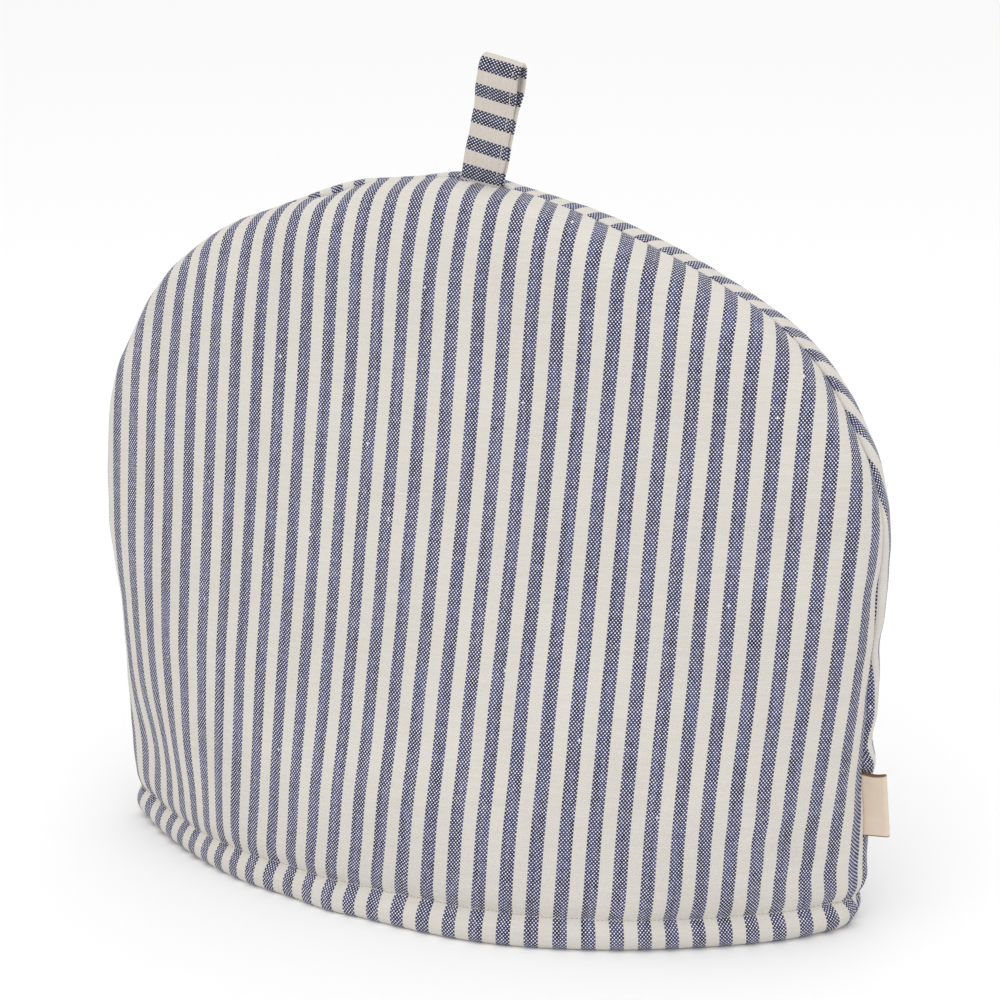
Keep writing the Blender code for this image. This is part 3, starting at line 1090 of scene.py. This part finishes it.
def new_group(
    name: str, inputs: tuple[str, ...], outputs: tuple[str, ...]
) -> tuple[Wires, bpy.types.bpy_prop_collection, bpy.types.Node]:
    """A shader node group with named sockets.

    Args:
        name: The group's name.
        inputs: Its inputs' names. "Cloth" is a place, and the others are numbers.
        outputs: Its outputs' names, all numbers.

    Returns:
        The wires of its tree, what it is given and the node that takes what it makes.
    """
    group = bpy.data.node_groups.new(name, "ShaderNodeTree")
    for direction, labels in (("INPUT", inputs), ("OUTPUT", outputs)):
        for label in labels:
            kind = "NodeSocketVector" if label == "Cloth" else "NodeSocketFloat"
            group.interface.new_socket(label, in_out=direction, socket_type=kind)
    wires = Wires(group)
    return wires, wires.add("NodeGroupInput").outputs, wires.add("NodeGroupOutput")


def plain_weave() -> bpy.types.NodeTree:
    """Threads over and under each other: which show, how high they lie, and their numbers."""
    wires, given, made = new_group(
        "plain_weave",
        ("Cloth", "Warp Pitch", "Weft Pitch", "Weft Show"),
        ("Weft", "Relief", "Warp Number", "Weft Number"),
    )
    across, along = wires.split(given["Cloth"])
    warp = wires.math("DIVIDE", across, given["Warp Pitch"])
    weft = wires.math("DIVIDE", along, given["Weft Pitch"])
    numbers = [wires.math("FLOOR", thread) for thread in (warp, weft)]
    parity = wires.math("FLOORED_MODULO", wires.math("ADD", *numbers), 2.0)
    warp_fat = wires.line(wires.chance(numbers[0]), *WARP_FATNESS)
    weft_fat = wires.line(wires.chance(numbers[1]), *WEFT_FATNESS)
    patch = wires.noise(across, along, PATCHES)
    weft_fat = wires.times(weft_fat, wires.line(patch, *PATCH_FATNESS))
    reach = wires.times(given["Weft Show"], wires.times(warp_fat, weft_fat))
    squares = []
    for thread in (warp, weft):
        off = wires.line(wires.math("FRACT", thread), 2.0, -1.0)
        squares.append(wires.times(off, off))
    dot = wires.math("SUBTRACT", reach, wires.math("ADD", *squares))
    softness, hollow = 0.25, -0.55
    backs = []
    for own, other in (squares, squares[::-1]):
        back = wires.math("SUBTRACT", 1.0, own)
        backs.append(wires.times(back, wires.line(other, hollow, 1.0)))
    relief = wires.add("ShaderNodeMix", {0: parity, 2: backs[0], 3: backs[1]}, data_type="FLOAT")
    feeds = {
        "Weft": wires.times(wires.span(dot, -softness, softness), parity),
        "Relief": relief.outputs[0],
        "Warp Number": numbers[0],
        "Weft Number": numbers[1],
    }
    wires.feed(made, feeds)
    return wires.tree


def ticking() -> bpy.types.NodeTree:
    """Which warp threads are dyed, by their numbers."""
    wires, given, made = new_group("ticking", ("Warp Number", "Repeat", "Dyed"), ("Stripe",))
    half = wires.times(given["Dyed"], 0.5)
    place = wires.math("FLOORED_MODULO", wires.math("ADD", given["Warp Number"], half), given["Repeat"])
    last = wires.math("SUBTRACT", given["Dyed"], 0.5)
    wires.feed(made, {"Stripe": wires.math("LESS_THAN", place, last)})
    return wires.tree


def yarn() -> bpy.types.NodeTree:
    """Unevenness of spun yarn: streaks along the threads, and here and there a slub."""
    wires, given, made = new_group(
        "yarn", ("Cloth", "Warp Number", "Weft Number"), ("Streak", "Slub", "Tone")
    )
    across, along = wires.split(given["Cloth"])
    warp, weft = given["Warp Number"], given["Weft Number"]
    share, rarest = 0.45, 0.905
    streak = wires.times(wires.noise(warp, along, OWN_STREAKS), share)
    streak = wires.line(wires.noise(across, along, BUNDLE_STREAKS), share, streak)
    streak = wires.line(wires.noise(across, along, LONG_STREAKS), share, streak)
    spot = wires.noise(warp, along, SLUB_SPOTS)
    pick = wires.noise(across, weft, PICK_TONES)
    tone = wires.times(wires.noise(across, along, BROAD_TONES), 0.5)
    feeds = {"Streak": streak, "Slub": wires.span(spot, rarest, 1.0), "Tone": wires.line(pick, 0.5, tone)}
    wires.feed(made, feeds)
    return wires.tree


def new_material(name: str) -> tuple[bpy.types.Material, Wires, bpy.types.Node]:
    """A new material, the wires of its tree and its shader."""
    made = bpy.data.materials.new(name)
    made.use_nodes = True
    return made, Wires(made.node_tree), made.node_tree.nodes["Principled BSDF"]


@dataclass(frozen=True)
class StripedCotton:
    """Plain-woven cotton, its warp in stripes of eight dyed threads and eight plain ones."""

    repeat: float = 10.5 * MM
    threads: int = 16
    dyed: int = 8
    weft_pitch: float = 0.78 * MM
    weft_show: float = 0.60
    dark: Colour = (0.008, 0.011, 0.054)
    faded: Colour = (0.052, 0.063, 0.178)
    plain: Colour = (0.645, 0.612, 0.562)
    weft: Colour = (0.78, 0.76, 0.75)
    fading: tuple[float, float] = (0.48, 0.90)
    # Painted shade between the threads: the slope and start of how the weave's relief darkens the colour.
    painted_gap_shade: tuple[float, float] = (0.12, 0.91)
    tone_shade: tuple[float, float] = (0.22, 0.89)
    roughness: float = 0.88
    relief: float = 0.16 * MM
    relief_strength: float = 0.35

    def material(self, name: str, groups: dict[str, bpy.types.NodeTree]) -> bpy.types.Material:
        """The cotton's material, made from the shared groups."""
        made, wires, shader = new_material(name)

        def use(group: str, feeds: Feeds) -> bpy.types.bpy_prop_collection:
            """What one of the groups makes of what it is fed."""
            return wires.add("ShaderNodeGroup", feeds, node_tree=groups[group]).outputs

        cloth = wires.cloth()
        pitches = {"Warp Pitch": self.repeat / self.threads, "Weft Pitch": self.weft_pitch}
        weave = use("weave", {"Cloth": cloth, "Weft Show": self.weft_show, **pitches})
        warp_number = {"Warp Number": weave["Warp Number"]}
        stripe = use("ticking", {"Repeat": self.threads, "Dyed": self.dyed, **warp_number})["Stripe"]
        spun = use("yarn", {"Cloth": cloth, "Weft Number": weave["Weft Number"], **warp_number})
        fade = wires.span(spun["Streak"], *self.fading)
        warp = wires.blend(stripe, (*self.plain, 1), wires.blend(fade, (*self.dark, 1), (*self.faded, 1)))
        weft = wires.blend(stripe, (*self.plain, 1), (*self.weft, 1))
        colour = wires.blend(wires.math("MAXIMUM", weave["Weft"], spun["Slub"]), warp, weft)
        # Painted shade between the threads: by the weave's relief the colour is darkened in the hollows and
        # lightened a little on the threads' crowns; the yarn's tone then varies it at random.
        depth = wires.line(weave["Relief"], *self.painted_gap_shade)
        shade = wires.times(depth, wires.line(spun["Tone"], *self.tone_shade))
        shaded = wires.add("ShaderNodeHueSaturation", {"Value": shade, "Color": colour})
        feeds = {
            "Base Color": shaded.outputs[0],
            "Normal": wires.bump(weave["Relief"], self.relief, self.relief_strength),
            "Roughness": self.roughness,
            "Specular IOR Level": 0.25,
            "Sheen Weight": 0.12,
            "Sheen Roughness": 0.5,
        }
        wires.feed(shader, feeds)
        return made


@dataclass(frozen=True)
class Satin:
    """A smooth narrow tape, darker along its top and bottom edges."""

    colour: Colour = (0.715, 0.59, 0.468)
    # The dark brown of the band along the tape's top and bottom edges.
    dark_edge: Colour = (0.17, 0.08, 0.028)
    half_width: float = 12.7 * MM
    shade: float = 0.9
    rib: float = 0.45 * MM
    rib_height: float = 0.03 * MM
    rib_strength: float = 0.4
    roughness: float = 0.5

    def material(self, name: str) -> bpy.types.Material:
        """The tape's material."""
        made, wires, shader = new_material(name)
        run, up = wires.split(wires.cloth())
        # The band along the tape's top and bottom edges is painted dark brown.
        dark_from, dark_whole = self.half_width - 1.0 * MM, self.half_width - 0.5 * MM
        edge = wires.span(wires.math("ABSOLUTE", up), dark_from, dark_whole)
        shaded = (*(self.shade * part for part in self.colour), 1)
        body = wires.blend(wires.noise(run, up, SATIN_TONES), (*self.colour, 1), shaded)
        ribs = wires.math("SINE", wires.times(up, 2 * np.pi / self.rib))
        feeds = {
            "Base Color": wires.blend(edge, body, (*self.dark_edge, 1)),
            "Normal": wires.bump(ribs, self.rib_height, self.rib_strength),
            "Roughness": self.roughness,
            "Sheen Weight": 0.1,
        }
        wires.feed(shader, feeds)
        return made


@dataclass(frozen=True)
class Matt:
    """One even, matt colour."""

    colour: Colour
    roughness: float = 0.8

    def material(self, name: str) -> bpy.types.Material:
        """The finish's material."""
        made, wires, shader = new_material(name)
        feeds = {"Base Color": (*self.colour, 1), "Roughness": self.roughness, "Specular IOR Level": 0.3}
        wires.feed(shader, feeds)
        return made


def dress(made: bpy.types.Object, material: bpy.types.Material) -> None:
    """Gives an object its one material."""
    made.data.materials.clear()
    made.data.materials.append(material)


# -------------------------------------------------------------------------- the studio


@dataclass(frozen=True)
class Studio:
    """The camera, a pale floor and soft light from all round."""

    place: Place = (534.2 * MM, -1190.7 * MM, 584.3 * MM)
    right: Place = (0.9155, 0.4021, -0.0152)
    up: Place = (-0.1134, 0.2940, 0.9490)
    lens: float = 129.83
    sensor: float = 36.0
    floor_size: float = 8.0
    floor_colour: Colour = (0.93, 0.93, 0.93)
    sky: float = 0.97
    aim: Place = (0, 0, 0.13)

    def add_camera(self) -> None:
        """The scene's camera."""
        data = bpy.data.cameras.new("camera")
        data.lens, data.sensor_width = self.lens, self.sensor
        data.clip_start, data.clip_end = 0.05, 50
        camera = bpy.data.objects.new("camera", data)
        bpy.context.scene.collection.objects.link(camera)
        right, up = Vector(self.right).normalized(), Vector(self.up)
        back = right.cross(up).normalized()
        turn = Matrix((right, back.cross(right), back)).transposed().to_4x4()
        camera.matrix_world = Matrix.Translation(self.place) @ turn
        bpy.context.scene.camera = camera

    def add_floor(self) -> None:
        """The floor that the cosy stands on."""
        deselect()
        bpy.ops.mesh.primitive_plane_add(size=self.floor_size, location=(0, 0, 0))
        floor = bpy.context.object
        floor.name = "floor"
        dress(floor, Matt(self.floor_colour, 0.9).material("floor"))

    def add_lamp(self, name: str, place: Place, size: float, power: float) -> None:
        """One large soft lamp that points at the cosy."""
        data = bpy.data.lights.new(name, "AREA")
        data.shape, data.size, data.energy = "DISK", size, power
        lamp = bpy.data.objects.new(name, data)
        bpy.context.scene.collection.objects.link(lamp)
        lamp.location = place
        lamp.rotation_euler = (Vector(self.aim) - Vector(place)).to_track_quat("-Z", "Y").to_euler()

    def build(self) -> None:
        """Makes the whole studio."""
        self.add_camera()
        self.add_floor()
        world = bpy.data.worlds.new("studio")
        world.use_nodes = True
        sky = world.node_tree.nodes["Background"]
        sky.inputs["Color"].default_value = (1, 1, 1, 1)
        sky.inputs["Strength"].default_value = self.sky
        bpy.context.scene.world = world
        self.add_lamp("above", (0.2, -0.5, 1.9), size=1.8, power=8)
        self.add_lamp("front", (0.4, -2.0, 1.0), size=1.6, power=4)
        bpy.context.scene.view_settings.view_transform = "Standard"
        bpy.context.scene.cycles.denoising_prefilter = "NONE"


def in_millimetres(kind: type, *rows: tuple[float, ...]) -> tuple:
    """Things of one kind, from rows of their values in millimetres."""
    return tuple(kind(*(value * MM for value in row)) for row in rows)


# Each row gives an amount, x and its reach, z and its reach, and a few dents add how far they
# fade. A creep's row gives its amount, its start and its run.
FRONT_PULLS = (
    *in_millimetres(
        Pull,
        (-1.0, 82, 30, 150, 900),
        (-0.8, 150, 28, 200, 60),
        (-1.1, -20, 55, 268, 22),
        (-0.9, -5, 80, 68, 20),
        (1.6, -30, 48, 4, 13),
        (2.5, 150, 30, 38, 32),
        (1.9, -28, 36, 10, 18),
        (-0.8, 95, 50, 6, 26),
        (-0.5, 48, 20, 55, 50),
        (-1.3, -78, 17, 48, 26),
        (-1.2, -120, 12, 30, 12),
        (-4.0, -138, 16, 34, 14),
        (1.4, -112, 14, 4, 8),
        (-0.9, -152, 14, 195, 40),
        (-1.1, -133, 13, 232, 18),
        (-0.7, -98, 10, 254, 12),
        (0.8, -98, 20, 215, 18),
        (0.7, 84, 24, 246, 16),
        (-0.9, 136, 10, 222, 12),
        (1.1, 144, 13, 27, 8),
        (-1.8, -85, 26, 20, 20),
        (-1.0, -120, 20, 22, 12),
        (-3.8, -141, 12, 46, 13),
        (-1.0, -123, 9, 240, 10),
        (0.7, -120, 12, 90, 14),
        (0.5, 98, 22, 222, 16),
        (-0.6, 125, 14, 52, 8),
    ),
    *in_millimetres(Gather, (3.0, -103, 22, 14, 24)),
    *in_millimetres(
        Pull,
        (-2.4, -150, 26, 42, 36),
        (-0.8, 150, 20, 60, 18),
    ),
)
BOTH_DENTS = in_millimetres(
    Dent,
    (2.4, 160, 60, 4, 8),
    (-1.2, 160, 60, 16, 8, 14),
    (1.2, -88, 12, 260, 30),
    (0.7, -118, 20, 243, 30),
    (-2.8, -160, 50, 32, 42, 30),
    (-1.2, -162, 40, 124, 22, 30),
    (-0.9, -157, 40, 186, 12, 30),
    (-0.5, -140, 12, 221, 14, 30),
    (0.8, -160, 40, 99, 9, 30),
    (-0.8, -158, 40, 60, 20, 30),
)
FRONT_DENTS = in_millimetres(
    Dent,
    (2.4, 160, 60, 68, 17),
    (2.2, 160, 60, 100, 20),
    (2.1, 157, 60, 134, 15),
    (3.0, 146, 60, 201, 20),
    (-0.5, 110, 12, 237, 30),
    (0.6, 50, 28, 265, 20),
    (2.2, 1, 12, 278, 12),
    (-0.8, -44, 9, 272, 20),
    (1.6, -64, 12, 267, 20),
)
BACK_DENTS = in_millimetres(
    Dent,
    (1.3, 160, 60, 112, 8),
    (1.5, 160, 60, 74, 7),
    (-1.4, 160, 60, 66, 5),
    (0.5, 12, 10, 275, 20),
    (-0.8, 157, 60, 165, 22),
    (1.5, 146, 60, 200, 13),
    (-0.6, 116, 12, 234, 30),
    (1.2, 22, 26, 273, 20),
    (-0.7, -14, 8, 277, 10),
    (-1.4, -54, 13, 270, 20),
)
BACK_PULLS = in_millimetres(
    Pull,
    (2.0, 20, 17, 275, 60),
    (-2.2, 150, 20, 65, 11),
)
BACK_CREEPS = in_millimetres(
    Creep,
    (4.0, -20, 95),
    (1.5, 80, 60),
)
FRONT_SWELLS = in_millimetres(
    Pull,
    (-3.2, -28, 38, 0, 30),
    (1.0, -112, 30, 0, 30),
    (-1.2, -64, 12, 0, 30),
    (1.0, -42, 9, 0, 30),
    (0.9, 28, 34, 0, 30),
    (0.9, 122, 16, 0, 30),
    (0.7, 132, 20, 46, 5),
    (-0.8, 136, 22, 35, 5),
    (0.6, 128, 20, 25, 5),
    (-0.9, -106, 6, 42, 20),
    (0.6, -94, 7, 36, 20),
    (0.5, -118, 7, 46, 20),
    (2.6, 90, 50, 0, 30),
)


def stand_for(made: bpy.types.Object, material: bpy.types.Material, node: str) -> None:
    """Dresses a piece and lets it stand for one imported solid."""
    dress(made, material)
    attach(made, BODY)
    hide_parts(node)
    LOG.info("%s: %d faces", made.name, len(made.data.polygons))


def sew(thread: Thread, stitches: Stitches, material: bpy.types.Material) -> None:
    """Makes the stitches of one thread."""
    sewn = thread.build(*stitches)
    dress(sewn, material)
    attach(sewn, BODY)
    LOG.info("%s: %d stitches", sewn.name, len(stitches[0]))


def main() -> None:
    """Builds the studio, then the cosy, piece by piece."""
    logging.basicConfig(level=logging.INFO, format="%(name)s: %(message)s")
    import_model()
    Studio().build()

    cotton = StripedCotton()
    tight_cotton = StripedCotton(
        weft_show=0.50, dark=(0.009, 0.011, 0.036), faded=(0.048, 0.055, 0.125), plain=(0.60, 0.55, 0.495)
    )
    groups = {"weave": plain_weave(), "ticking": ticking(), "yarn": yarn()}
    sewing = Matt((0.50, 0.44, 0.37), 0.8).material("sewing_thread")
    dome, hem = Dome(), Hem()
    loop = HangingLoop(dome, cotton.repeat)
    tape = SideTape(dome)
    parting = Parting(
        loop_middle=loop.x,
        loop_half=loop.width / 2,
        loop_room=loop.thickness + loop.foot_gap / 2,
        tape_middle=(tape.low + tape.high) / 2,
        tape_half=(tape.high - tape.low) / 2,
        tape_room=tape.thickness + tape.fold_gap / 2,
    )
    for side in Side:
        front = side is Side.FRONT
        word = side.name.lower()
        panel = PaddedPanel(
            name=f"{word}_cloth",
            side=side,
            dome=dome,
            hem=hem,
            parting=parting,
            stripe_repeat=cotton.repeat,
            first_stripe=14.978 if front else 15.10,
            seed=1.0 if front else 20.0,
            pulls=FRONT_PULLS if front else BACK_PULLS,
            creeps=() if front else BACK_CREEPS,
            dents=BOTH_DENTS + (FRONT_DENTS if front else BACK_DENTS),
            other_dents=BOTH_DENTS + (BACK_DENTS if front else FRONT_DENTS),
            swells=FRONT_SWELLS if front else (),
        )
        made = panel.build()
        slot = f"{word}_cotton"
        stand_for(made, cotton.material(slot, groups), f"{word}_panel")
        thread = Thread(f"{word}_hem_thread", hem.thread_radius, hem.stitch_length * hem.stitch_cover)
        sew(thread, panel.stitches(), sewing)

    made = loop.build()
    stand_for(made, tight_cotton.material("loop_cotton", groups), "hanging_loop")
    thread = Thread("loop_thread", loop.thread_radius, loop.stitch_length * loop.stitch_cover)
    sew(thread, loop.stitches(), Matt((0.66, 0.62, 0.58), 0.75).material("loop_sewing_thread"))

    made = tape.build()
    stand_for(made, Satin().material("tape_satin"), "side_tape")


if __name__ == "__main__":
    main()
